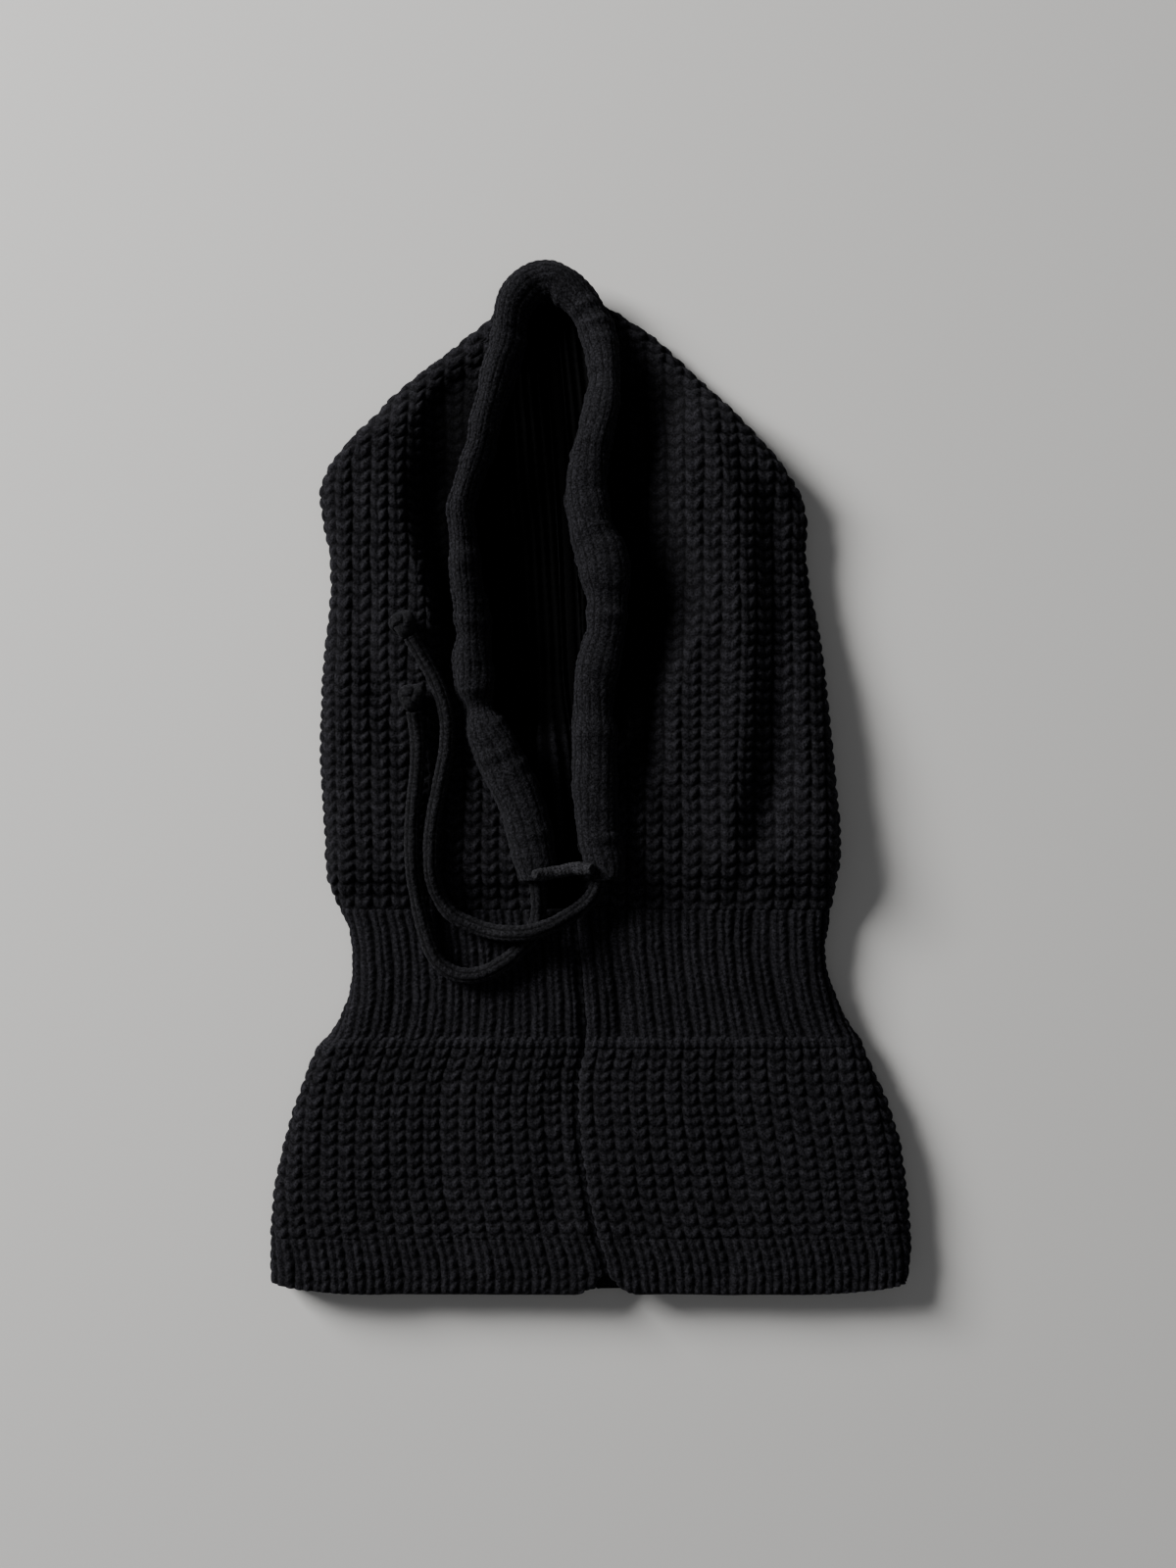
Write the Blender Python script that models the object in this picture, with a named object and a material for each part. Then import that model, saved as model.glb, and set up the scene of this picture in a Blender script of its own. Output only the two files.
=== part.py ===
"""Knitted drawstring balaclava, lying flat on its back.

Metres, +Z up. +Y runs from the hem to the crown, +X to the right of someone looking down on the face
opening. The origin is the middle of the garment's outline, on the surface that it lies on.

The garment is two knitted halves, each knitted in one go as hem rib, bib, neck rib and hood. They meet
in a seam down the centre back and over the crown, and in one down the centre front below the face
opening. A folded jersey strip edges that opening, and a knitted cord runs through it.
"""

import math

import bpy
import bmesh
import numpy as np
from mathutils import Vector

MM = 0.001

# Lengths along the garment, in mm from the origin.
HEM_Y = -224.5
HEM_TOP_Y = -200.0
BIB_TOP_Y = -116.0
NECK_BOTTOM_Y = -113.0
NECK_TOP_Y = -57.0
CROWN_Y = 216.0
NOTCH_TOP_Y = -216.0
THROAT_Y = -43.0
GAP = 0.3

# Thickness of the knit and height of the front face above the surface, in mm.
FABRIC = 5.0
CROWN_FABRIC = 4.0
BODY_HEIGHT = 16.0
HOOD_HEIGHT = 22.0
CROWN_HEIGHT = 10.0
FOLD_DEPTH = 11.0
FRONT_LIP = 1.0
HOOD_RISE = (-56, -36)
CROWN_FALL = (140, 188)
SEAM_WIDTH = 3.0
SEAM_HEIGHT = 4.6
BACK_SEAM_HEIGHT = 3.9

# Folded jersey channel round the face opening, in mm.
CHANNEL_HEIGHT = 14.0
CHANNEL_WALL = 2.2
CHANNEL_Z = 24.5
CHANNEL_CROWN_Z = 17.7
CHANNEL_FALL = (148, 200)
CHANNEL_SIDES = 12
CHANNEL_STEP = 11.0

# Drawcord: a round knitted cord with a stopper knot on each end, in mm.
CORD_DIAMETER = 7.0
CORD_CLEARANCE = 0.9
CORD_STEP = 14.0
CORE_STEP = 11.0
CORD_TRAVEL = 25.0
STRAIGHT_RUN = CORD_TRAVEL + 3.0
CORE_GAP = 2.5
PULL_LEAN_DEG = 5.0
KNOT_SIZE = (13.0, 11.0, 11.0)
CROSSING_LIFT = 7.5
EXIT_REACH = 16.0
EXIT_X = (-30.0, 10.0)
CORE_START = 12.0

# Stitched bar across the throat, the slot below it and the notch in the hem, in mm.
BAR_Y = THROAT_Y + 3.4
BAR_HALF_WIDTH = 3.2
BAR_HALF_HEIGHT = 2.6
BAR_END = 1.5
BAR_END_SHARE = 0.75
BAR_SIDES = 10
SLOT_EDGES = {-1: -18.5, 1: -5.0}
NOTCH_SPREAD = 8.0

# Places along the garment where each knitted section's shape is set, in mm.
HOOD_STATIONS = [NECK_TOP_Y, -51, THROAT_Y - 1.5, THROAT_Y - 0.5, -36, -24, -8, 8, 24, 44, 64, 82, 98]
HOOD_STATIONS += [112, 124, 131, 137, 148, 158, 168, 178, 188, 196, 203, 210, CROWN_Y]
NECK_STATIONS = [NECK_BOTTOM_Y, -106, -96, -85, -74, -65, NECK_TOP_Y - GAP]
ROW_STATIONS = [BIB_TOP_Y + GAP, NECK_BOTTOM_Y - GAP]
BIB_STATIONS = [HEM_TOP_Y + GAP, -180, -158, -140, -128, -121, BIB_TOP_Y]
HEM_STATIONS = [HEM_Y, NOTCH_TOP_Y, -208, HEM_TOP_Y]

# Outline of the garment as (y, x) keys, in mm.
LEFT_EDGE = (
    (HEM_Y, -140.7), (-204, -140.7), (-185, -140.2), (-160, -135.2), (-139, -129.2), (-124, -123.3),
    (-116, -119.5), (-110, -112.5), (-103, -110.0), (-96, -106.8), (-80, -104.7), (-66, -106.3),
    (-52, -112.9), (-40, -116.0), (-20, -116.6), (10, -118.6), (50, -117.2), (88, -113.9),
    (104, -115.2), (121, -119.3), (131, -117.3), (142, -110.9), (156, -97.3), (172, -83.7),
    (187, -63.9), (198, -50.6), (205, -42.0), (CROWN_Y, -35.0),
)
RIGHT_EDGE = (
    (HEM_Y, 139.0), (-208, 140.7), (-185, 139.4), (-157, 135.8), (-139, 129.6), (-124, 122.8),
    (-113, 118.0), (-103, 110.9), (-93, 107.2), (-78, 102.4), (-62, 104.6), (-47, 107.2), (-30, 109.4),
    (0, 107.2), (30, 104.4), (60, 101.0), (75, 98.6), (95, 94.0), (112, 95.3), (121, 94.0),
    (131, 88.0), (142, 80.6), (152, 70.6), (162, 61.6), (172, 51.6), (187, 36.3), (198, 23.5),
    (206, 9.8), (CROWN_Y, -6.0),
)
BACK_SEAM = ((HEM_Y, 0.0), (-75, -2.0), (0, -6.0), (130, -12.0), (CROWN_Y, -19.5))
FRONT_SEAM = ((HEM_Y, 6.5), (-216, 6.5), (-198, 1.5), (-168, -4.5), (-134, -7.0), (-113, -3.5), (-57, -8.0))

# Middle line of the channel as (x, y, width), from its left end over the arch to its right end, in mm.
CHANNEL_ROUTE = (
    (-24, -43, 18.5), (-24.5, -31, 19), (-28.5, -15, 20), (-35, 0, 20), (-41, 13, 19),
    (-46.5, 25, 17), (-49.5, 38, 16), (-50.5, 52, 15.5), (-50, 66, 16.5), (-52, 80, 16.5),
    (-54, 95, 15), (-55, 110, 14), (-54.5, 119, 14), (-50, 134, 14), (-47, 143, 14),
    (-45, 152, 14.5), (-42, 168, 14.5), (-38, 185, 15), (-36.5, 201, 14.5), (-34, 209, 14.5),
    (-28, 215, 14.5), (-19.5, 217.2, 14.6), (-10, 213.5, 14.6), (-3, 206, 14.6), (2, 197, 15),
    (4.5, 184, 16), (5.5, 170, 16), (3.5, 157, 16), (0, 143, 17), (-1.5, 131, 17.5),
    (-2, 122, 18.5), (0.5, 107, 20), (4.5, 96, 22), (6.5, 85, 22), (7, 73, 21.5), (6, 61, 20.5),
    (3, 48, 19), (1.5, 36, 18.5), (1.5, 22, 20), (1.5, 5, 21), (3, -19, 20), (5.5, -36, 19),
    (6, -43, 18.5),
)
LEFT_TOP_INDEX = 18
RIGHT_TOP_INDEX = 24

# Free cord ends as (x, y), from the channel's end to the knot, in mm.
RIGHT_CORD_EXIT = (3.0, -43.0)
RIGHT_CORD_ROUTE = (
    (0.5, -50), (-4.7, -55.5), (-11.9, -60), (-18.5, -63), (-27, -65.5), (-37, -66), (-45, -65),
    (-52, -62.5), (-59.5, -58.5), (-65, -51), (-68.2, -40), (-68.4, -26), (-66.7, -13), (-63.8, 1.5),
    (-61.8, 13), (-61.6, 25), (-64.4, 37), (-70, 49), (-77, 61),
)
LEFT_CORD_EXIT = (-23.5, -43.0)
LEFT_CORD_ROUTE = (
    (-22.6, -51), (-22.6, -57.5), (-23.8, -62.5), (-27.2, -69), (-33, -75.5), (-39, -80), (-46, -83.5),
    (-53.5, -84.8), (-60.5, -83), (-66, -78.5), (-69.8, -71), (-72.6, -61.5), (-75, -49.5), (-76.3, -36),
    (-76.6, -23), (-75.8, -10.5), (-74.5, 2), (-74, 13), (-74.6, 22), (-75.6, 29),
)
CROSSING = (-24.5, -64.5)
CROSSING_REACH = 26.0

# Finish of each kind of piece: colour and roughness.
KNIT_COLOUR = (0.018, 0.018, 0.021)
JERSEY_COLOUR = (0.022, 0.022, 0.025)
CORD_COLOUR = (0.030, 0.030, 0.033)
THREAD_COLOUR = (0.040, 0.040, 0.043)
FABRIC_ROUGHNESS = 0.95


def monotone(keys, at):
    """Value at a point of a smooth line through keys that never overshoots them."""
    xs = np.array([float(k[0]) for k in keys])
    ys = np.array([float(k[1]) for k in keys])
    step = np.diff(xs)
    slope = np.diff(ys) / step
    tangent = np.zeros(len(xs))
    tangent[0] = slope[0]
    tangent[-1] = slope[-1]
    for i in range(1, len(xs) - 1):
        if slope[i - 1] * slope[i] > 0:
            tangent[i] = 2 * slope[i - 1] * slope[i] / (slope[i - 1] + slope[i])
    i = int(np.clip(np.searchsorted(xs, at) - 1, 0, len(step) - 1))
    t = (at - xs[i]) / step[i]
    start = (1 + 2 * t) * (1 - t) ** 2 * ys[i] + t * (1 - t) ** 2 * step[i] * tangent[i]
    end = t * t * (3 - 2 * t) * ys[i + 1] + t * t * (t - 1) * step[i] * tangent[i + 1]
    return float(start + end)


def smoothstep(low, high, at):
    """0 below low, 1 above high, and a soft step between."""
    t = min(max((at - low) / (high - low), 0.0), 1.0)
    return t * t * (3 - 2 * t)


def front_height(y):
    """Height of the front face above the surface at a station."""
    hood = smoothstep(*HOOD_RISE, y)
    crown = smoothstep(*CROWN_FALL, y)
    height = BODY_HEIGHT + (HOOD_HEIGHT - BODY_HEIGHT) * hood
    return height + (CROWN_HEIGHT - HOOD_HEIGHT) * crown


def fabric_at(y):
    """Thickness of the knit at a station."""
    return FABRIC + (CROWN_FABRIC - FABRIC) * smoothstep(*CROWN_FALL, y)


def resample(points, step):
    """Points at an even spacing along a smooth curve through a route's own points."""
    route = [Vector(p) for p in points]
    padded = [route[0] * 2 - route[1]] + route + [route[-1] * 2 - route[-2]]
    fine = []
    for i in range(1, len(padded) - 2):
        a, b, c, d = padded[i - 1:i + 3]
        for k in range(12):
            t = k / 12
            fine.append(
                0.5 * (2 * b + (c - a) * t + (2 * a - 5 * b + 4 * c - d) * t ** 2
                       + (3 * b - a - 3 * c + d) * t ** 3)
            )
    fine.append(route[-1])
    lengths = np.concatenate([[0.0], np.cumsum([(q - p).length for p, q in zip(fine, fine[1:])])])
    count = max(2, round(lengths[-1] / step))
    places = np.linspace(0.0, lengths[-1], count + 1)
    columns = [np.interp(places, lengths, [p[axis] for p in fine]) for axis in range(len(fine[0]))]
    return [Vector(values) for values in zip(*columns)]


CHANNEL_PLAN = resample(CHANNEL_ROUTE, CHANNEL_STEP)
CHANNEL_OUTER_EDGES = {
    -1: sorted((y, x - width / 2) for x, y, width in CHANNEL_ROUTE[:LEFT_TOP_INDEX + 1]),
    1: sorted((y, x + width / 2) for x, y, width in CHANNEL_ROUTE[RIGHT_TOP_INDEX:]),
}


def material(name, colour):
    """A matt textile finish."""
    made = bpy.data.materials.new(name)
    made.use_nodes = True
    shader = made.node_tree.nodes["Principled BSDF"]
    shader.inputs["Base Color"].default_value = (*colour, 1.0)
    shader.inputs["Roughness"].default_value = FABRIC_ROUGHNESS
    shader.inputs["Metallic"].default_value = 0.0
    return made


def add_mesh(name, verts, faces, colour):
    """One closed body from vertices in mm, with its faces pointing outwards."""
    mesh = bpy.data.meshes.new(name)
    mesh.from_pydata([(x * MM, y * MM, z * MM) for x, y, z in verts], [], faces)
    work = bmesh.new()
    work.from_mesh(mesh)
    bmesh.ops.recalc_face_normals(work, faces=work.faces)
    work.to_mesh(mesh)
    work.free()
    mesh.shade_smooth()
    mesh.set_sharp_from_angle(angle=math.radians(40))
    made = bpy.data.objects.new(name, mesh)
    bpy.context.scene.collection.objects.link(made)
    made.data.materials.append(material(name, colour))
    return made


def wall_faces(stations, count):
    """Faces of a wall between an outer and an inner rail, both with count points at each station."""
    faces = []
    ring = 2 * count
    for s in range(stations - 1):
        here = s * ring
        ahead = here + ring
        for i in range(count - 1):
            faces.append((here + i, here + i + 1, ahead + i + 1, ahead + i))
            inner = count + i
            faces.append((here + inner + 1, here + inner, ahead + inner, ahead + inner + 1))
        for i in (0, count - 1):
            faces.append((here + i, ahead + i, ahead + count + i, here + count + i))
    for s in (0, stations - 1):
        here = s * ring
        for i in range(count - 1):
            faces.append((here + i, here + i + 1, here + count + i + 1, here + count + i))
    return faces


def fold_rail(side, x_back, x_front, x_edge, y, inset):
    """Points from the back seam, round the side fold, to the front edge, inset from the outer face."""
    height = front_height(y)
    middle = height / 2
    reach = min(FOLD_DEPTH, 0.45 * abs(x_edge - x_back))
    bend = x_edge - side * reach
    x_front = side * min(side * x_front, side * bend - FRONT_LIP)
    flat = [(x_back + (bend - x_back) * t, inset) for t in (0.0, 0.5)]
    curve = []
    for angle in np.radians(np.linspace(-90, 90, 7)):
        x = bend + side * (reach - inset) * math.cos(angle)
        z = middle + (middle - inset) * math.sin(angle)
        curve.append((x, z))
    top = [(bend + (x_front - bend) * t, height - inset) for t in (0.33, 0.67, 1.0)]
    return [(x, y, z) for x, z in flat + curve + top]


def knit_half(name, side, stations, front_edge):
    """One half of a knitted section, wrapped round the garment's side from back seam to front edge."""
    outline = RIGHT_EDGE if side > 0 else LEFT_EDGE
    verts = []
    for y in stations:
        x_back = monotone(BACK_SEAM, y) + side * (SEAM_WIDTH / 2 + GAP)
        x_edge = monotone(outline, y)
        x_front = front_edge(side, y)
        outer = fold_rail(side, x_back, x_front, x_edge, y, 0.0)
        inner = fold_rail(side, x_back, x_front, x_edge, y, fabric_at(y))
        verts += outer + inner
    count = len(outer)
    return add_mesh(name, verts, wall_faces(len(stations), count), KNIT_COLOUR)


def beside_front_seam(side, y):
    """Front edge of a half that meets the centre front seam, opening into the notch at the hem."""
    edge = monotone(FRONT_SEAM, y) + side * (SEAM_WIDTH / 2 + GAP)
    notch = max(0.0, (NOTCH_TOP_Y - y) / (NOTCH_TOP_Y - HEM_Y))
    return edge + side * NOTCH_SPREAD * notch


def beside_channel(side, y):
    """Front edge of a hood half: the channel's outer side, or the small slot below the throat."""
    if y < THROAT_Y - 1.0:
        return SLOT_EDGES[side]
    edge = CHANNEL_OUTER_EDGES[side]
    return monotone(edge, min(y, edge[-1][0])) + side * 3 * GAP


def make_halves():
    """The eight knitted sections and the two raised border rows."""
    for label, side in (("left", -1), ("right", 1)):
        knit_half("hood_" + label, side, HOOD_STATIONS, beside_channel)
        knit_half("neck_rib_" + label, side, NECK_STATIONS, beside_front_seam)
        knit_half("border_row_" + label, side, ROW_STATIONS, beside_front_seam)
        knit_half("bib_" + label, side, BIB_STATIONS, beside_front_seam)
        knit_half("hem_rib_" + label, side, HEM_STATIONS, beside_front_seam)


def seam_strip(name, keys, stations, low, height):
    """A narrow seam along the garment, between the two halves."""
    verts = []
    half = SEAM_WIDTH / 2
    high = low + height
    for y in stations:
        x = monotone(keys, y)
        verts += [(x - half, y, low), (x + half, y, low), (x + half, y, high), (x - half, y, high)]
    faces = [(0, 1, 2, 3), tuple(len(verts) - 4 + i for i in range(4))]
    for s in range(len(stations) - 1):
        for i in range(4):
            j = (i + 1) % 4
            faces.append((4 * s + i, 4 * s + j, 4 * s + 4 + j, 4 * s + 4 + i))
    return add_mesh(name, verts, faces, THREAD_COLOUR)


def make_seams():
    """Centre back and crown seam, and centre front seam below the throat."""
    below_hood = HEM_STATIONS + BIB_STATIONS + ROW_STATIONS + NECK_STATIONS
    back = sorted(below_hood + HOOD_STATIONS)
    seam_strip("crown_and_back_seam", BACK_SEAM, back, 0.0, BACK_SEAM_HEIGHT)
    front = sorted(y for y in below_hood if y >= NOTCH_TOP_Y)
    seam_strip("centre_front_seam", FRONT_SEAM, front, BODY_HEIGHT - SEAM_HEIGHT, SEAM_HEIGHT)


def channel_height(y):
    """Height of the channel's middle line above the surface."""
    return CHANNEL_Z + (CHANNEL_CROWN_Z - CHANNEL_Z) * smoothstep(*CHANNEL_FALL, y)


def make_channel():
    """The folded strip round the face opening, a tube that is open at both lower ends."""
    centre = [Vector((x, y, channel_height(y))) for x, y, width in CHANNEL_PLAN]
    widths = [width for x, y, width in CHANNEL_PLAN]
    verts = []
    for i, point in enumerate(centre):
        ahead = centre[min(i + 1, len(centre) - 1)] - centre[max(i - 1, 0)]
        across = Vector((ahead.y, -ahead.x, 0.0)).normalized()
        if i in (0, len(centre) - 1):
            across = Vector((across.x, 0.0, 0.0)).normalized()
        for wall in (0.0, CHANNEL_WALL):
            for k in range(CHANNEL_SIDES):
                angle = 2 * math.pi * k / CHANNEL_SIDES
                sideways = (widths[i] / 2 - wall) * math.cos(angle)
                upwards = (CHANNEL_HEIGHT / 2 - wall) * math.sin(angle)
                verts.append(tuple(point + across * sideways + Vector((0, 0, upwards))))
    ring = 2 * CHANNEL_SIDES
    faces = []
    for k in range(CHANNEL_SIDES):
        j = (k + 1) % CHANNEL_SIDES
        for s in range(len(centre) - 1):
            here = s * ring
            faces.append((here + k, here + j, here + ring + j, here + ring + k))
            here += CHANNEL_SIDES
            faces.append((here + j, here + k, here + ring + k, here + ring + j))
        for s in (0, len(centre) - 1):
            here = s * ring
            faces.append((here + k, here + j, here + CHANNEL_SIDES + j, here + CHANNEL_SIDES + k))
    return add_mesh("face_channel", verts, faces, JERSEY_COLOUR)


def make_bartack():
    """The stitched bar across the throat, between the channel's two lower ends."""
    left_x, _, left_width = CHANNEL_ROUTE[0]
    right_x, _, right_width = CHANNEL_ROUTE[-1]
    left = left_x + left_width / 2 + 4 * GAP
    right = right_x - right_width / 2 - 4 * GAP
    rings = ((left, BAR_END_SHARE), (left + BAR_END, 1.0), (right - BAR_END, 1.0), (right, BAR_END_SHARE))
    verts = []
    for x, share in rings:
        for k in range(BAR_SIDES):
            angle = 2 * math.pi * k / BAR_SIDES
            y = BAR_Y + BAR_HALF_WIDTH * share * math.cos(angle)
            verts.append((x, y, CHANNEL_Z + BAR_HALF_HEIGHT * share * math.sin(angle)))
    last = len(verts) - BAR_SIDES
    faces = [tuple(range(BAR_SIDES)), tuple(range(last, last + BAR_SIDES))]
    for s in range(0, last, BAR_SIDES):
        for k in range(BAR_SIDES):
            j = (k + 1) % BAR_SIDES
            faces.append((s + k, s + j, s + BAR_SIDES + j, s + BAR_SIDES + k))
    return add_mesh("throat_bartack", verts, faces, THREAD_COLOUR)


def add_cord(name, points):
    """A round cord along points in mm."""
    curve = bpy.data.curves.new(name, "CURVE")
    curve.dimensions = "3D"
    curve.bevel_depth = CORD_DIAMETER / 2 * MM
    curve.bevel_resolution = 2
    curve.use_fill_caps = True
    spline = curve.splines.new("POLY")
    spline.points.add(len(points) - 1)
    for slot, point in zip(spline.points, points):
        slot.co = (point.x * MM, point.y * MM, point.z * MM, 1.0)
    made = bpy.data.objects.new(name, curve)
    bpy.context.scene.collection.objects.link(made)
    made.data.materials.append(material(name, CORD_COLOUR))
    return made


def pull_direction():
    """The way both cord ends are pulled, along the channel's lower ends."""
    lean = math.radians(PULL_LEAN_DEG)
    return Vector((math.sin(lean), -math.cos(lean), 0.0))


def cord_height(x, y, crosses):
    """Height of a free cord's middle line where it lies on the front face."""
    lying = front_height(y) + CORD_DIAMETER / 2 + CORD_CLEARANCE
    away = math.dist((x, y), CROSSING) / CROSSING_REACH
    lift = CROSSING_LIFT * (1 - smoothstep(0.12, 1.0, away)) if crosses else 0.0
    near_exit = smoothstep(THROAT_Y - EXIT_REACH, THROAT_Y, y) if EXIT_X[0] < x < EXIT_X[1] else 0.0
    return max(lying + lift, lying + (CHANNEL_Z - lying) * near_exit)


def make_cord_end(label, exit_point, route, crosses):
    """A free cord end, with the straight run that lies in the channel, and its stopper knot."""
    out = Vector((*exit_point, CHANNEL_Z))
    straight = [out - pull_direction() * d for d in (STRAIGHT_RUN, STRAIGHT_RUN / 2)]
    lying = [Vector((x, y, cord_height(x, y, crosses))) for x, y in route]
    half_knot = KNOT_SIZE[0] / 2
    lying[-1].z += KNOT_SIZE[2] / 2 - CORD_DIAMETER / 2
    free = resample([tuple(p) for p in [out] + lying], CORD_STEP)
    add_cord("drawcord_end_" + label, straight + free)
    along = (free[-1] - free[-2]).normalized()
    centre = free[-1] + along * (half_knot + GAP)
    centre.z = free[-1].z
    flat_angle = math.atan2(along.y, along.x)
    bpy.ops.mesh.primitive_uv_sphere_add(segments=12, ring_count=8, radius=0.5 * MM)
    knot = bpy.context.object
    knot.name = "stopper_knot_" + label
    for vertex in knot.data.vertices:
        vertex.co = Vector([c * size for c, size in zip(vertex.co, KNOT_SIZE)])
    knot.data.shade_smooth()
    knot.data.materials.append(material(knot.name, CORD_COLOUR))
    knot.location = centre * MM
    knot.rotation_euler = (0.0, 0.0, flat_angle)
    return free


def make_cord_core():
    """The middle of the drawcord, inside the channel between the two straight runs."""
    ends = []
    for exit_point in (LEFT_CORD_EXIT, RIGHT_CORD_EXIT):
        ends.append(Vector((*exit_point, CHANNEL_Z)) - pull_direction() * (STRAIGHT_RUN + CORE_GAP))
    inside = [p for p in CHANNEL_ROUTE if p[1] > ends[0].y + CORE_START]
    route = [(p[0], p[1], channel_height(p[1])) for p in inside]
    add_cord("drawcord_core", resample([tuple(ends[0])] + route + [tuple(ends[1])], CORE_STEP))


def clear_scene():
    for existing in list(bpy.data.objects):
        bpy.data.objects.remove(existing, do_unlink=True)


clear_scene()
make_halves()
make_seams()
make_channel()
make_bartack()
make_cord_core()
make_cord_end("right", RIGHT_CORD_EXIT, RIGHT_CORD_ROUTE, True)
make_cord_end("left", LEFT_CORD_EXIT, LEFT_CORD_ROUTE, False)
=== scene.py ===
"""Looks of the knitted drawstring balaclava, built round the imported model.

Lengths in this file are in mm unless a name ends in _M. Every knitted piece is a grid of points on the
garment's surface, pushed out along its normal by the stitch pattern at that place.
"""
import math

import bpy
import numpy as np
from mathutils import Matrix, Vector


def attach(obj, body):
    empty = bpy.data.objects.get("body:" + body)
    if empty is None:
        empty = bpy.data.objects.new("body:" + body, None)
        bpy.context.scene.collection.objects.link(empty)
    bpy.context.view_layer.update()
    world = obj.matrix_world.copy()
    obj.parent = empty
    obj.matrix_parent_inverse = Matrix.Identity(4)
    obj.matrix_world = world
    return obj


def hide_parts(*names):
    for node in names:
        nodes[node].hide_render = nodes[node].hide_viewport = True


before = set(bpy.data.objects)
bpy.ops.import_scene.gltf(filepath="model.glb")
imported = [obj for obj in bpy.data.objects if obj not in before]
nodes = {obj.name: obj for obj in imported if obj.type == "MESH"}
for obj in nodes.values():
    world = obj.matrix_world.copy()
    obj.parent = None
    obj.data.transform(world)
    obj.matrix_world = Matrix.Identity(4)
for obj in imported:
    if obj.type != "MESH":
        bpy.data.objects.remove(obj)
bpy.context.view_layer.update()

MM = 0.001

# ---------------------------------------------------------------- dimensions

# Garment. Its outline comes from the model; its front is lower than the model's beside the channel.
FABRIC = 5.0
CROWN_FABRIC = 4.0
BODY_HEIGHT = 16.0
HOOD_HEIGHT = 22.0
CROWN_HEIGHT = 12.0
LOWEST_FRONT = 10.2
FOLD_DEPTH = 11.0
HOOD_RISE = (-56.0, -36.0)
CROWN_FALL = (140.0, 188.0)
SEAM_HALF = 0.4
THROAT_Y = -43.0
NOTCH_TOP_Y = -216.0
NOTCH_SPREAD = 8.0
SLOT_EDGES = {-1: -18.5, 1: -5.0}
TUCK = 7.0
TUCK_DROP = 5.0
HEM_CORNER = 5.0
RIM_ROLL = 1.4
BAR_Y = THROAT_Y + 3.9
BAR_ENDS = (-24.0, 0.6)
BAR_RISE = 4.0
BAR_ARCH = 4.6
BAR_HALF = (2.5, 2.2)

# Sections of knit along the garment: lowest and highest y.
HEM = (-224.5, -199.6)
BIB = (-200.2, -115.0)
BORDER = (-117.6, -111.4)
NECK = (-114.0, -56.6)
HOOD = (-57.2, 216.0)

# Columns of stitches in each half between the front seam and the side fold, and row heights.
BIB_COLUMNS = 16.5
NECK_COLUMNS = 13.0
FULL_WIDTH = 128.0
NECK_WIDTH = 100.0
FAN_SHARE = 0.45
CHUNKY_ROW = 5.1
HOOD_ROW = 5.3
NECK_ROW = 3.1
HOOD_COLUMN_WIDTH = 7.9
CHUNKY_RELIEF = 2.0
FINE_RELIEF = 1.6
INNER_RELIEF = 2.2

# Spacing of the points that the knit is made of, and the size of the grid round the side fold.
GRID = 0.8
BACK_GRID = 1.5
RIM_LENGTH = 33.0
INNER_STEP = 3
INNER_SHIFT = 0.25
BACK_COLUMNS = 31.0
# Between these places up the opening, the inside of the hood fades into painted shade.
PAINTED_INSIDE_SHADE = (14.0, 44.0)

# Channel round the face opening: middle line and width as (x, y, width).
CHANNEL_HEIGHT = 14.0
CHANNEL_WALL = 1.4
CHANNEL_Z = 24.5
CHANNEL_CROWN_Z = 17.7
CHANNEL_FALL = (148.0, 200.0)
CHANNEL_ROUTE = (
    (-24, -43, 18.5), (-24.5, -31, 19), (-28.5, -15, 20), (-35, 0, 20), (-41, 13, 19),
    (-46.5, 25, 17), (-49.5, 38, 16), (-50.5, 52, 15.5), (-50, 66, 16.5), (-52, 80, 16.5),
    (-54, 95, 15), (-55, 110, 14), (-54.5, 119, 14), (-50, 134, 14), (-47, 143, 14),
    (-45, 152, 15.5), (-41.2, 168, 16), (-36.3, 185, 16), (-34.2, 201, 15.5), (-31.6, 208.6, 15.5),
    (-26, 214.3, 15.5), (-18.5, 216.2, 15.5), (-10, 212.5, 15.5), (-3, 205, 15.5), (1.5, 196, 16),
    (4.5, 184, 16), (5.5, 170, 16), (3.5, 157, 16), (0, 143, 17), (-1.5, 131, 17.5),
    (-2, 122, 18.5), (0.5, 107, 20), (4.5, 96, 22), (6.5, 85, 22), (7, 73, 21.5), (6, 61, 20.5),
    (3, 48, 19), (1.5, 36, 18.5), (1.5, 22, 20), (1.5, 5, 21), (3, -19, 20), (5.5, -36, 19),
    (6, -43, 18.5),
)
CHANNEL_TILT = (
    (0.0, 0), (0.1, -4), (0.16, -24), (0.24, -40), (0.4, -38), (0.5, -24), (0.6, -24), (0.7, 2),
    (0.85, 10), (0.94, 4), (1.0, 0),
)
# Places where the channel is nipped in: x, y, share of its size lost, reach.
PINCHES = (
    (-48, 31, 0.34, 6.0), (-50, 62, 0.12, 5.0), (-55, 104, 0.14, 7.0), (7, 78, 0.10, 6.0),
    (1.5, 28, 0.10, 5.0), (4.5, 176, 0.12, 6.0), (-38, 190, 0.10, 6.0),
)
CHANNEL_FLATNESS = ((0.0, 1.0), (0.12, 1.0), (0.2, 0.76), (0.56, 0.74), (0.68, 0.92), (0.8, 1.0), (1.0, 1.0))
CROWN_SINK = 1.5
NIP_SINK = 9.0
CHANNEL_SIDES = 84
CHANNEL_COLUMNS = 15
TUBE_STEP = 0.7
LINK_ANGLE = math.radians(205.0)
LINK_PITCH = 3.4
LINK_RADIUS = 1.25
LEFT_TOP_INDEX = 18
RIGHT_TOP_INDEX = 24

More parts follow.
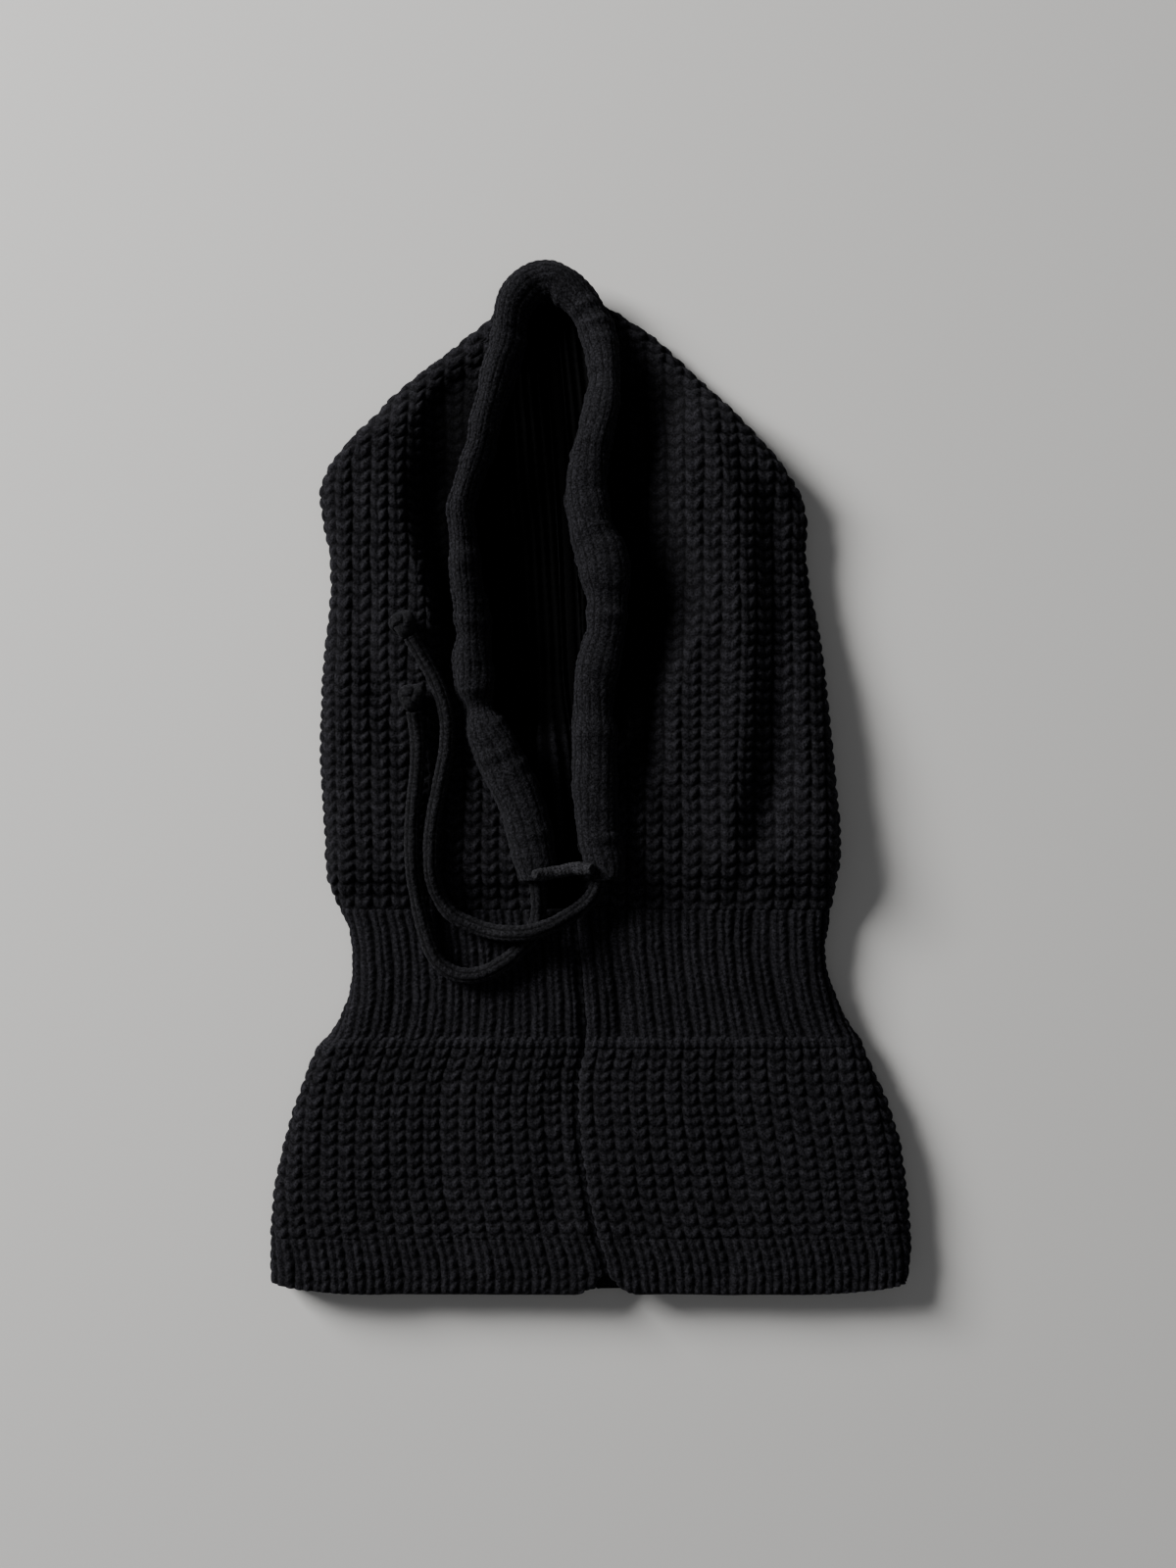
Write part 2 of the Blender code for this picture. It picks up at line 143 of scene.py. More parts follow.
# Drawcord.
CORD_DIAMETER = 7.0
CORD_COLUMNS = 6
CORD_ROW = 3.0
CORD_CLEARANCE = 0.9
STRAIGHT_RUN = 28.0
CORE_START = 36.0
PULL_LEAN_DEG = 5.0
CROSSING = (-24.5, -64.5)
CROSSING_REACH = 26.0
CROSSING_LIFT = 7.5
KNOT_SIZE = (13.0, 11.0, 11.0)
KNOT_SPREAD = (1.15, 0.95, 2.1)
KNOT_STRAND = 2.85
RIGHT_CORD_EXIT = (3.0, -43.0)
RIGHT_CORD_ROUTE = (
    (0.5, -50), (-4.7, -55.5), (-11.9, -60), (-18.5, -63), (-27, -65.5), (-37, -66), (-45, -65),
    (-52, -62.5), (-59.5, -58.5), (-65, -51), (-68.2, -40), (-68.4, -26), (-66.7, -13), (-63.8, 1.5),
    (-61.8, 13), (-61.6, 25), (-64.4, 37), (-70, 49), (-77, 61),
)
LEFT_CORD_EXIT = (-23.5, -43.0)
LEFT_CORD_ROUTE = (
    (-22.6, -51), (-22.6, -57.5), (-23.8, -62.5), (-27.2, -69), (-33, -75.5), (-39, -80), (-46, -83.5),
    (-53.5, -84.8), (-60.5, -83), (-66, -78.5), (-69.8, -71), (-72.6, -61.5), (-75, -49.5), (-76.3, -36),
    (-76.6, -23), (-75.8, -10.5), (-74.5, 2), (-74, 13), (-74.6, 22), (-75.6, 29),
)

# Soft folds of the lying garment: points (x, y), half width and height. A valley has a negative height.
FOLDS = (
    (((-113, 96), (-95, 44), (-76, 2)), 7.0, -2.2),
    (((-92, 150), (-90, 110)), 12.0, 2.0),
    (((52, 160), (64, 100), (66, 40), (60, -30)), 9.0, 3.5),
    (((84, 118), (86, 60), (80, 6), (72, -24)), 10.0, -5.0),
    (((100, 50), (102, 10), (101, -30)), 7.0, 2.0),
    (((32, -10), (46, -30), (66, -44)), 8.0, -2.0),
    (((10, -60), (14, -90), (12, -112)), 6.0, -1.8),
    (((-8, -118), (-16, -150), (-14, -190)), 7.0, -1.8),
    (((70, -64), (84, -96), (104, -118)), 8.0, -1.8),
    (((-60, -120), (-66, -160), (-60, -200)), 8.0, -1.2),
    (((60, -130), (64, -170), (58, -215)), 8.0, -1.2),
)

# How the front drops beside the channel, by side: depth, where along y the drop begins and is full at its
# lower end and its upper end, and distances from the channel where its slope begins and ends, low and high.
DROPS = {
    -1: (12.0, (30.0, 75.0), (190.0, 160.0), ((1.0, 12.0), (6.0, 28.0)), (70.0, 150.0)),
    1: (11.0, (-20.0, 30.0), (196.0, 170.0), ((8.0, 26.0), (12.0, 38.0)), (20.0, 100.0)),
}

# Share of their height, and of their lightness as painted shade, that stitches lose where the front has
# dropped in full.
SUNK_FLATTENING_AND_PAINTED_SHADE = 0.7

# Folds of the back, given like FOLDS, that lift it off the surface under the opening.
BACK_FOLDS = (
    (((-14, 60), (-18, 10), (-16, -24)), 8.5, 9.0),
)

# Between these the back's lift fades out up the opening.
BACK_FADE = (-8.0, 50.0)

# Ribs to a stitch column on the inside of the hood.
INNER_RIBS = 2


# ---------------------------------------------------------------- small helpers


def smoothstep(low, high, at):
    """0 below low, 1 above high, and a soft step between."""
    t = np.clip((np.asarray(at, float) - low) / (high - low), 0.0, 1.0)
    return t * t * (3 - 2 * t)


def monotone(keys, at):
    """Values at points of a smooth line through (place, value) keys that never overshoots them."""
    xs, ys = np.array(sorted(keys), float).T
    step = np.diff(xs)
    slope = np.diff(ys) / step
    tangent = np.zeros(len(xs))
    tangent[0], tangent[-1] = slope[0], slope[-1]
    before, after = slope[:-1], slope[1:]
    same = before * after > 0
    total = np.where(same, before + after, 1.0)
    tangent[1:-1] = np.where(same, 2 * before * after / total, 0.0)
    at = np.asarray(at, float)
    i = np.clip(np.searchsorted(xs, at) - 1, 0, len(step) - 1)
    t = np.clip((at - xs[i]) / step[i], 0.0, 1.0)
    start = (1 + 2 * t) * (1 - t) ** 2 * ys[i] + t * (1 - t) ** 2 * step[i] * tangent[i]
    return start + t * t * (3 - 2 * t) * ys[i + 1] + t * t * (t - 1) * step[i] * tangent[i + 1]


def chance(i, j=0, seed=0):
    """A number from 0 to 1 for each pair of whole numbers, always the same for the same pair."""
    mixed = np.sin(np.asarray(i) * 127.1 + np.asarray(j) * 311.7 + seed * 74.7) * 43758.5453
    return mixed - np.floor(mixed)


def cloud(x, y, size, seed=0):
    """Soft value noise from -1 to 1 with blobs about one size across."""
    u, v = np.asarray(x) / size, np.asarray(y) / size
    i, j = np.floor(u), np.floor(v)
    a, b = smoothstep(0, 1, u - i), smoothstep(0, 1, v - j)
    low = chance(i, j, seed) * (1 - a) + chance(i + 1, j, seed) * a
    high = chance(i, j + 1, seed) * (1 - a) + chance(i + 1, j + 1, seed) * a
    return 2 * (low * (1 - b) + high * b) - 1


def distance_to_line(x, y, points):
    """Distance from each place to a line through points."""
    best = np.full(np.shape(x), 1e9)
    for (ax, ay), (bx, by) in zip(points, points[1:]):
        dx, dy = bx - ax, by - ay
        t = np.clip(((x - ax) * dx + (y - ay) * dy) / (dx * dx + dy * dy), 0.0, 1.0)
        best = np.minimum(best, np.hypot(x - ax - t * dx, y - ay - t * dy))
    return best


def resample(points, step):
    """Points at an even spacing along a smooth curve through a route's own points."""
    route = np.array(points, float)
    padded = np.vstack([2 * route[0] - route[1], route, 2 * route[-1] - route[-2]])
    fine = []
    for i in range(1, len(padded) - 2):
        a, b, c, d = padded[i - 1:i + 3]
        t = np.linspace(0, 1, 24, endpoint=False)[:, None]
        cubic = (3 * b - a - 3 * c + d) * t ** 3
        fine.append(0.5 * (2 * b + (c - a) * t + (2 * a - 5 * b + 4 * c - d) * t ** 2 + cubic))
    fine = np.vstack(fine + [route[-1:]])
    lengths = np.concatenate([[0.0], np.cumsum(np.linalg.norm(np.diff(fine, axis=0), axis=1))])
    places = np.linspace(0.0, lengths[-1], max(2, round(lengths[-1] / step)) + 1)
    return np.column_stack([np.interp(places, lengths, fine[:, k]) for k in range(route.shape[1])])


# ---------------------------------------------------------------- outline, read from the model


def node_edges(name):
    """The two ends of each edge of a node's mesh, in mm."""
    mesh = nodes[name].data
    points = np.array([v.co[:] for v in mesh.vertices]) / MM
    return points[np.array([e.vertices[:] for e in mesh.edges])]


def line_from(names, pick, step=3.0):
    """(y, x) keys along some nodes, with pick taking one x from where their edges cross each y."""
    edges = np.concatenate([node_edges(n) for n in names])
    low, high = edges[..., 1].min(), edges[..., 1].max()
    keys = []
    for y in np.linspace(low + 0.01, high - 0.01, round((high - low) / step) + 1):
        crossing = edges[(edges[:, 0, 1] - y) * (edges[:, 1, 1] - y) < 0]
        if len(crossing):
            t = (y - crossing[:, 0, 1]) / (crossing[:, 1, 1] - crossing[:, 0, 1])
            keys.append((y, float(pick(crossing[:, 0, 0] + t * (crossing[:, 1, 0] - crossing[:, 0, 0])))))
    return keys


NODE_OF = {"hem": "hem_rib_", "bib": "bib_", "border": "border_row_", "neck": "neck_rib_", "hood": "hood_"}
EDGES = {
    -1: line_from([n + "left" for n in NODE_OF.values()], min),
    1: line_from([n + "right" for n in NODE_OF.values()], max),
}
BACK_SEAM = line_from(["crown_and_back_seam"], lambda xs: (min(xs) + max(xs)) / 2)
FRONT_SEAM = line_from(["centre_front_seam"], lambda xs: (min(xs) + max(xs)) / 2)
CHANNEL_OUTER_EDGES = {
    -1: sorted((y, x - width / 2) for x, y, width in CHANNEL_ROUTE[:LEFT_TOP_INDEX + 1]),
    1: sorted((y, x + width / 2) for x, y, width in CHANNEL_ROUTE[RIGHT_TOP_INDEX:]),
}


def front_height(y):
    """Height of the front face above the surface, without its folds."""
    height = BODY_HEIGHT + (HOOD_HEIGHT - BODY_HEIGHT) * smoothstep(*HOOD_RISE, y)
    return height + (CROWN_HEIGHT - HOOD_HEIGHT) * smoothstep(*CROWN_FALL, y)


def folds(x, y):
    """Height that the soft folds add to the front face."""
    total = 0.8 * cloud(x, y, 37.0, 5) + 0.4 * cloud(x, y, 17.0, 6)
    for points, width, height in FOLDS:
        total = total + height * np.exp(-(distance_to_line(x, y, points) / width) ** 2)
    return total


def beside_channel(side, x, y):
    """Height that the drop beside the channel adds to the front face of one half."""
    depth, lower, upper, slopes, change = DROPS[side]
    edge = CHANNEL_OUTER_EDGES[side]
    away = side * (x - monotone(edge, np.clip(y, edge[0][0], edge[-1][0])))
    high = smoothstep(*change, y)
    begins, ends = [low + (top - low) * high for low, top in zip(*slopes)]
    return -depth * smoothstep(*lower, y) * smoothstep(*upper, y) * (1 - smoothstep(begins, ends, away))


def back_lift(x, y):
    """Lift of the back off the surface, in folds that fade out up the opening."""
    lift = 0 * x
    for points, width, height in BACK_FOLDS:
        lift = lift + height * np.exp(-(distance_to_line(x, y, points) / width) ** 2)
    return lift * (1 - smoothstep(*BACK_FADE, y))


def painted_inside_lightness(y):
    """Share of the yarn's lightness left inside the hood; the rest is painted shade, near black high in the
    opening.
    """
    return 1 - 0.98 * smoothstep(*PAINTED_INSIDE_SHADE, y)


def channel_height(y):
    """Height of the channel's middle line above the surface."""
    return CHANNEL_Z + (CHANNEL_CROWN_Z - CHANNEL_Z) * smoothstep(*CHANNEL_FALL, y)


def seam_side(side, y):
    """Front edge of a half along the centre front seam, opening into the notch at the hem."""
    notch = np.clip((NOTCH_TOP_Y - y) / (NOTCH_TOP_Y - HEM[0]), 0.0, 1.0)
    return monotone(FRONT_SEAM, y) + side * (SEAM_HALF + NOTCH_SPREAD * notch)


def channel_side(side, y):
    """Front edge of a hood half: along the channel, or beside the small slot below the throat."""
    edge = CHANNEL_OUTER_EDGES[side]
    beside = monotone(edge, np.minimum(y, edge[-1][0])) - side * TUCK
    return beside + (SLOT_EDGES[side] - beside) * smoothstep(THROAT_Y + 16, THROAT_Y - 1, y)


# ---------------------------------------------------------------- stitch patterns


def stitch_columns(u, v, seed, slant=0.55, depth=0.62, roundness=4.2, split=0.45, gap=1.0):
    """Columns of V stitches: u counts columns and v counts rows. depth, split and gap are how far the yarn
    drops between rows, along a column's middle, and between columns."""
    u = u + 0.06 * cloud(u * 3, v, 1.7, seed)
    column = np.floor(u)
    across = np.abs(2 * (u - column) - 1)
    leg = column * 2 + (u - column > 0.5)
    wander = 0.10 * chance(column, 3, seed) + 0.14 * cloud(v, column * 5, 1.3, seed)
    phase = v - slant * across ** 1.3 + wander
    row = np.floor(phase)
    bulge = np.sin(np.pi * (phase - row)) ** 0.6
    size = 0.82 + 0.36 * chance(leg, row, seed)
    body = 1 - gap * (1 - np.clip(1 - across ** roundness, 0, 1) ** 0.8)
    crease = 1 - split * np.exp(-(across / 0.17) ** 2)
    return np.clip(body * crease * size * (1 - depth + depth * bulge), 0, 1)


def purl_row(u, v, seed):
    """One raised row of rounded bumps, two to a column, across v from 0 to 1."""
    bump = np.floor(u * 2)
    round_off = np.sqrt(np.clip(1 - (2 * v - 1) ** 2, 0, 1))
    across = np.abs(2 * (u * 2 - bump) - 1)
    size = 0.85 + 0.3 * (chance(bump, 1, seed) - 0.5)
    return round_off * (0.55 + 0.45 * np.clip(1 - across ** 2.2, 0, 1)) * size


# ---------------------------------------------------------------- meshes from grids


def mesh_object(name, points, quads, triangles, attributes, rim=()):
    """A mesh object from points in mm, its faces turned outwards, with a sharp edge along its rim."""
    corners = points[quads]
    volume = 0.0
    for a, b, c in ((0, 1, 2), (0, 2, 3)):
        volume += (corners[:, a] * np.cross(corners[:, b], corners[:, c])).sum()
    if len(triangles):
        corners = points[triangles]
        volume += (corners[:, 0] * np.cross(corners[:, 1], corners[:, 2])).sum()
    if volume < 0:
        quads = quads[:, ::-1]
        triangles = triangles[:, ::-1]
    mesh = bpy.data.meshes.new(name)
    mesh.vertices.add(len(points))
    mesh.vertices.foreach_set("co", (points * MM).astype(np.float32).ravel())
    loops = np.concatenate([quads.ravel(), triangles.ravel()]).astype(np.int32)
    mesh.loops.add(len(loops))
    mesh.loops.foreach_set("vertex_index", loops)
    starts = np.concatenate([
        np.arange(len(quads)) * 4,
        4 * len(quads) + np.arange(len(triangles)) * 3,
    ])
    mesh.polygons.add(len(starts))
    mesh.polygons.foreach_set("loop_start", starts.astype(np.int32))
    mesh.update(calc_edges=True)
    mesh.shade_smooth()
    if len(rim):
        on_rim = np.zeros(len(points), bool)
        on_rim[rim] = True
        ends = np.zeros(2 * len(mesh.edges), np.int32)
        mesh.edges.foreach_get("vertices", ends)
        sharp = mesh.attributes.new("sharp_edge", "BOOLEAN", "EDGE")
        sharp.data.foreach_set("value", on_rim[ends].reshape(-1, 2).all(1))
    for label, values in attributes.items():
        layer = mesh.attributes.new(label, "FLOAT", "POINT")
        layer.data.foreach_set("value", values.astype(np.float32))
    made = bpy.data.objects.new(name, mesh)
    bpy.context.scene.collection.objects.link(made)
    return made


def grid_quads(index, wraps=False):
    """Quads between the neighbours of a grid of point numbers, closed on itself across if it wraps."""
    if wraps:
        index = np.concatenate([index, index[:, :1]], axis=1)
    return np.stack([index[:-1, :-1], index[:-1, 1:], index[1:, 1:], index[1:, :-1]], -1).reshape(-1, 4)


def zip_lines(fine, coarse, step):
    """Triangles between a line of point numbers and one with a point for every step of its."""
    faces = []
    for k in range(step):
        nearer = coarse[:-1] if k < (step + 1) // 2 else coarse[1:]
        faces.append(np.stack([nearer, fine[k:-1:step][:len(nearer)], fine[k + 1::step][:len(nearer)]], -1))
    middle = (step + 1) // 2
    faces.append(np.stack([coarse[:-1], fine[middle:-1:step][:len(coarse) - 1], coarse[1:]], -1))
    return np.concatenate(faces)


def grid_normals(points, wraps=False):
    """Unit normals of a grid of points."""
    if wraps:
        across = np.roll(points, -1, 1) - np.roll(points, 1, 1)
    else:
        across = np.gradient(points, axis=1)
    along = np.gradient(points, axis=0)
    normal = np.cross(across, along)
    return normal / np.maximum(np.linalg.norm(normal, axis=-1, keepdims=True), 1e-9)


def steps_of(length, spacing, multiple):
    """A number of steps near length / spacing that multiple divides."""
    return multiple * max(1, round(length / spacing / multiple))


# ---------------------------------------------------------------- knitted sections


def half_section(name, side, span, front_edge, columns, row, relief, pattern, inner_step=INNER_STEP,
                 inner_relief=0.7, edge_low=False, fan_width=FULL_WIDTH):
    """One half of a knitted section, a closed shell wrapped round the garment's side.

    columns counts stitch columns from the front seam to the side fold, or gives minus a column's width.
    """
    low, high = span
    back_grid = BACK_GRID if inner_step > 1 else GRID
    y = np.linspace(low, high, steps_of(high - low, GRID, inner_step) + 1)[:, None]
    x_back = monotone(BACK_SEAM, y) + side * SEAM_HALF
    x_edge = monotone(EDGES[side], y)
    reach = np.minimum(FOLD_DEPTH, 0.45 * np.abs(x_edge - x_back))
    bend = x_edge - side * reach
    x_front = front_edge(side, y)
    x_front = side * np.minimum(side * x_front, side * bend - 1.0)

    widest = float(np.abs(bend - x_front).max())
    front_t = np.linspace(0, 1, steps_of(widest, GRID, inner_step) + 1)[None, :]
    rim_t = np.linspace(0, 1, steps_of(RIM_LENGTH, GRID, inner_step) + 1)[None, 1:]
    back_steps = steps_of(float(np.abs(bend - x_back).max()), back_grid, inner_step)
    back_t = np.linspace(0, 1, back_steps + 1)[None, 1:]

    ones = np.ones_like(y)
    front_x = x_front + (bend - x_front) * front_t
    front_z = front_height(y) * np.ones_like(front_x) + folds(front_x, y * np.ones_like(front_x))
    if front_edge is channel_side:
        front_z = front_z + beside_channel(side, front_x, y)
        over = front_z - LOWEST_FRONT
        front_z = LOWEST_FRONT + (over + np.sqrt(over ** 2 + 4)) / 2
    edge_z = front_height(y) + folds(bend, y)
    settle = smoothstep(0, 14, np.abs(front_x - bend))
    front_z = edge_z * (1 - settle) + front_z * settle
    from_edge = np.abs(front_x - x_front)
    if front_edge is channel_side:
        drop = TUCK_DROP * smoothstep(THROAT_Y - 9, THROAT_Y, y) * (1 - smoothstep(*CROWN_FALL, y))
        under = front_height(y) - drop * (1 - 0.5 * smoothstep(20, 60, y))
        clear = smoothstep(0, TUCK - 1.5, from_edge)
        front_z = under * (1 - clear) + front_z * clear
    roll = np.clip(1 - from_edge / 4.5, 0, 1)
    front_z = front_z - (FABRIC - relief) * (1 - np.sqrt(np.clip(1 - roll ** 2, 0, 1)))

    middle = edge_z / 2
    angle = np.pi / 2 - np.pi * rim_t
    rim_x = bend + side * reach * np.cos(angle)
    rim_z = middle + middle * np.sin(angle)
    back_x = bend + (x_back - bend) * back_t
    back_edge = np.abs(back_x - x_back)
    back_roll = np.clip(1 - back_edge / 3.0, 0, 1)
    back_z = 2.2 * (1 - np.sqrt(np.clip(1 - back_roll ** 2, 0, 1))) * ones
    back_z = back_z + back_lift(back_x, y * np.ones_like(back_x))

    x = np.hstack([front_x, rim_x, back_x])
    z = np.hstack([front_z, rim_z, back_z])
    yy = y * np.ones_like(x)
    if edge_low:
        corner = np.clip((np.abs(x) - 84) / 56, 0, 1) ** 2
        yy = yy + HEM_CORNER * corner * (high - yy) / (high - low)

    # Unrolled distance from the front seam line, along the surface of each row.
    reach_length = np.pi * np.sqrt((reach ** 2 + middle ** 2) / 2)
    unrolled = np.hstack([
        side * (front_x - bend),
        reach_length * rim_t,
        reach_length + np.abs(back_x - bend),
    ])
    if columns > 0:
        centre = monotone(FRONT_SEAM, y)
        width = np.abs(bend - centre)
        u = columns * (width + unrolled) / (width ** FAN_SHARE * fan_width ** (1 - FAN_SHARE))
    else:
        u = (side * bend + unrolled) / -columns
        from_seam = BACK_COLUMNS - np.abs(x - x_back) / -columns
        behind = np.clip((unrolled - reach_length) / np.abs(bend - x_back), 0, 1)
        u = u + (from_seam - u) * smoothstep(0.1, 0.55, behind)
    u = u + 0.10 * cloud(x, yy, 33.0, 15)
    v = yy / row + 0.45 * cloud(x, yy, 52.0, 16) + 0.15 * cloud(x, yy, 17.0, 17)
    height = pattern(u, v)
    # Painted shade and flattening: stitches in the drop beside the channel are lower and darker.
    if front_edge is channel_side:
        sunk_painted_shade = beside_channel(side, front_x, y) / DROPS[side][0]
        height[:, :front_x.shape[1]] *= 1 + SUNK_FLATTENING_AND_PAINTED_SHADE * sunk_painted_shade

    outer = np.stack([x, yy, z], -1)
    normal = grid_normals(outer)
    if normal[:, front_x.shape[1] // 2, 2].mean() < 0:
        normal = -normal
    base = outer - normal * relief
    taper = np.ones_like(yy)
    if edge_low:
        taper = np.sqrt(np.clip(1 - np.clip(1 - (yy - low) / 3.2, 0, 1) ** 2, 0, 1))
    rim_share = np.clip(np.minimum(yy - yy.min(), yy.max() - yy) / RIM_ROLL, 0, 1)
    taper = taper * (0.7 + 0.3 * np.sqrt(1 - (1 - rim_share) ** 2))
    thick = FABRIC + (CROWN_FABRIC - FABRIC) * smoothstep(*CROWN_FALL, yy) - relief
    half = thick / 2
    centre_line = base - normal * half[..., None]
    lift = half * taper + relief * height * (0.25 + 0.75 * taper)
    outer = centre_line + normal * lift[..., None]
    outer[..., 2] = np.maximum(outer[..., 2], 0.05)
    coarse = slice(None, None, inner_step)
    inside = (0.5 + 0.5 * np.cos(2 * np.pi * INNER_RIBS * (u[coarse, coarse] + INNER_SHIFT))) ** 2
    inside = inside * (1 - 0.35 * height[coarse, coarse])
    depth = (half * taper)[coarse, coarse] + inner_relief * (inside - 0.5)
    inner = centre_line[coarse, coarse] - normal[coarse, coarse] * depth[..., None]
    # The inside carries painted shade: darker between its ribs, and near black high up the opening.
    painted_lit = painted_inside_lightness(yy[coarse, coarse])
    piece = shell_object(name, outer, inner, height, painted_lit * (0.15 + 0.85 * inside) - (1 - painted_lit), inner_step)
    widths = np.linalg.norm(np.diff(base, axis=1), axis=2).sum(1)
    flat = (float(widths.max()) * MM, (high - low) * MM)
    return piece, {"flat": flat, "area": float(widths.mean() / widths.max()) * flat[0] * flat[1]}


def shell_object(name, outer, inner, height, inner_height, step):
    """A closed body between an outer grid and an inner one with every so many of its lines."""
    rows, cols = outer.shape[:2]
    inner_rows, inner_cols = inner.shape[:2]
    outer_index = np.arange(rows * cols).reshape(rows, cols)
    inner_index = rows * cols + np.arange(inner_rows * inner_cols).reshape(inner_rows, inner_cols)
    quads = [grid_quads(outer_index), grid_quads(inner_index)[:, ::-1]]
    triangles = np.zeros((0, 3), int)
    rims = [(0, 1), (-1, -1)]
    sides = [(outer_index[k], inner_index[k], turn) for k, turn in rims]
    sides += [(outer_index[:, k], inner_index[:, k], -turn) for k, turn in rims]
    for fine, coarse, turn in sides:
        if step > 1:
            triangles = np.concatenate([triangles, zip_lines(fine, coarse, step)[:, ::turn]])
        else:
            quads.append(grid_quads(np.stack([fine, coarse]))[:, ::-turn])
    points = np.concatenate([outer.reshape(-1, 3), inner.reshape(-1, 3)])
    stitch = np.concatenate([height.ravel(), inner_height.ravel()])
    rim = np.concatenate([fine for fine, coarse, turn in sides])
    return mesh_object(name, points, np.concatenate(quads), triangles, {"stitch": stitch}, rim)


# ---------------------------------------------------------------- tubes: channel, cords, seams


def tube_frames(points):
    """Unit directions across and up at each point of a line."""
    along = np.gradient(points, axis=0)
    along /= np.linalg.norm(along, axis=1, keepdims=True)
    across = np.cross(along, (0.0, 0.0, 1.0))
    across /= np.linalg.norm(across, axis=1, keepdims=True)
    return across, np.cross(across, along)


def tube_object(name, points, surface, sides):
    """A closed tube along points.

    surface(length along, angle) gives its offsets across and up, and its stitch height.
    """
    across, up = tube_frames(points)
    length = np.concatenate([[0.0], np.cumsum(np.linalg.norm(np.diff(points, axis=0), axis=1))])
    angle = np.linspace(0, 2 * np.pi, sides, endpoint=False)
    s, a = np.meshgrid(length, angle, indexing="ij")
    sideways, upwards, height = surface(s, a)
    grid = points[:, None, :] + across[:, None, :] * sideways[..., None] + up[:, None, :] * upwards[..., None]
    rows = len(points)
    index = np.arange(rows * sides).reshape(rows, sides)
    quads = grid_quads(index, wraps=True)
    caps = []
    ends = []
    for end in (0, rows - 1):
        centre = rows * sides + len(ends)
        ends.append(grid[end].mean(0))
        ring = index[end]
        ahead = np.roll(ring, -1)
        cap = np.stack([np.full(sides, centre), ahead, ring], -1)
        caps.append(cap if end == 0 else cap[:, ::-1])
    all_points = np.concatenate([grid.reshape(-1, 3), np.array(ends)])
    stitch = np.concatenate([height.ravel(), np.full(2, 0.4)])
    return mesh_object(name, all_points, quads, np.concatenate(caps), {"stitch": stitch})


def make_channel():
    """The folded jersey strip round the face opening, open at both lower ends."""
    plan = resample(CHANNEL_ROUTE, TUBE_STEP)
    width = plan[:, 2].copy()
    points = plan.copy()
    points[:, 2] = channel_height(plan[:, 1]) + 1.2 * cloud(plan[:, 1], plan[:, 0], 31.0, 11)
    across, up = tube_frames(points)
    length = np.concatenate([[0.0], np.cumsum(np.linalg.norm(np.diff(points, axis=0), axis=1))])
    sides = CHANNEL_SIDES
    angle = np.linspace(0, 2 * np.pi, sides, endpoint=False)
    s, a = np.meshgrid(length, angle, indexing="ij")
    end_free = smoothstep(0, 12, np.minimum(s, length[-1] - s))
    nip = np.zeros(len(plan))
    for x, y, share, reach in PINCHES:
        nip = np.maximum(nip, share * np.exp(-(np.hypot(plan[:, 0] - x, plan[:, 1] - y) / reach) ** 2))
    flatness = monotone(CHANNEL_FLATNESS, length / length[-1])
    crown = smoothstep(*CHANNEL_FALL, plan[:, 1])
    points[:, 2] -= NIP_SINK * nip + (1 - flatness) * CHANNEL_HEIGHT / 2 + CROWN_SINK * crown
    pucker = np.clip(cloud(s + 2.5 * np.sin(a), a * 2, 4.2, 3), -0.2, 1)
    gather = 0.85 * pucker + 0.9 * cloud(s, a * 3, 12.0, 4) - 0.6
    wide = ((width / 2) * (1 - nip))[:, None] + 0.9 * end_free * cloud(s, 0 * s, 21.0, 9)
    wide = wide * (1 - 0.2 * np.exp(-(np.minimum(s, length[-1] - s) / 4.5) ** 2))
    tall = CHANNEL_HEIGHT / 2 * np.sqrt(wide / wide.mean()) + 0.6 * end_free * cloud(s, 0 * s, 17.0, 12)
    tall = tall * flatness[:, None]
    column = a / (2 * np.pi) * CHANNEL_COLUMNS + 0.4 * cloud(s, a, 19.0, 8)
    height = stitch_columns(column, s / 2.9, 21, slant=0.7, depth=0.7, roundness=4.0, split=0.2)
    rim = np.minimum(s, length[-1] - s)
    taper = np.sqrt(np.clip(1 - np.clip(1 - rim / 3.0, 0, 1) ** 2, 0, 1))
    push = (gather + 0.5 * (height - 0.5)) * taper
    flat = np.abs(np.cos(a)) ** 0.85 * np.sign(np.cos(a))
    half_wall = CHANNEL_WALL / 2
    tilt = np.radians(monotone(CHANNEL_TILT, s / length[-1]))

    def ring(w, h):
        sideways = w * flat
        upwards = h * np.sin(a)
        turned = sideways * np.cos(tilt) - upwards * np.sin(tilt)
        raised = sideways * np.sin(tilt) + upwards * np.cos(tilt)
        moved = points[:, None, :] + across[:, None, :] * turned[..., None]
        return moved + up[:, None, :] * raised[..., None]

    outer = ring(wide - half_wall + half_wall * taper + push, tall - half_wall + half_wall * taper + push)
    inner = ring(wide - half_wall - half_wall * taper, tall - half_wall - half_wall * taper)
    rows = len(points)
    outer_index = np.arange(rows * sides).reshape(rows, sides)
    inner_index = outer_index + rows * sides
    quads = [grid_quads(outer_index, True), grid_quads(inner_index, True)[:, ::-1]]
    for end, turn in ((0, 1), (rows - 1, -1)):
        pair = np.stack([outer_index[end], inner_index[end]])
        quads.append(grid_quads(pair, True)[:, ::-turn])
    all_points = np.concatenate([outer.reshape(-1, 3), inner.reshape(-1, 3)])
    # The inside of the channel has a low stitch value: painted shade.
    stitch = np.concatenate([height.ravel(), np.full(rows * sides, 0.15)])
    none = np.zeros((0, 3), int)
    piece = mesh_object("channel_jersey", all_points, np.concatenate(quads), none, {"stitch": stitch})
    linked = outer[:, np.argmin(np.abs(angle - LINK_ANGLE))]
    return piece, points, length, linked


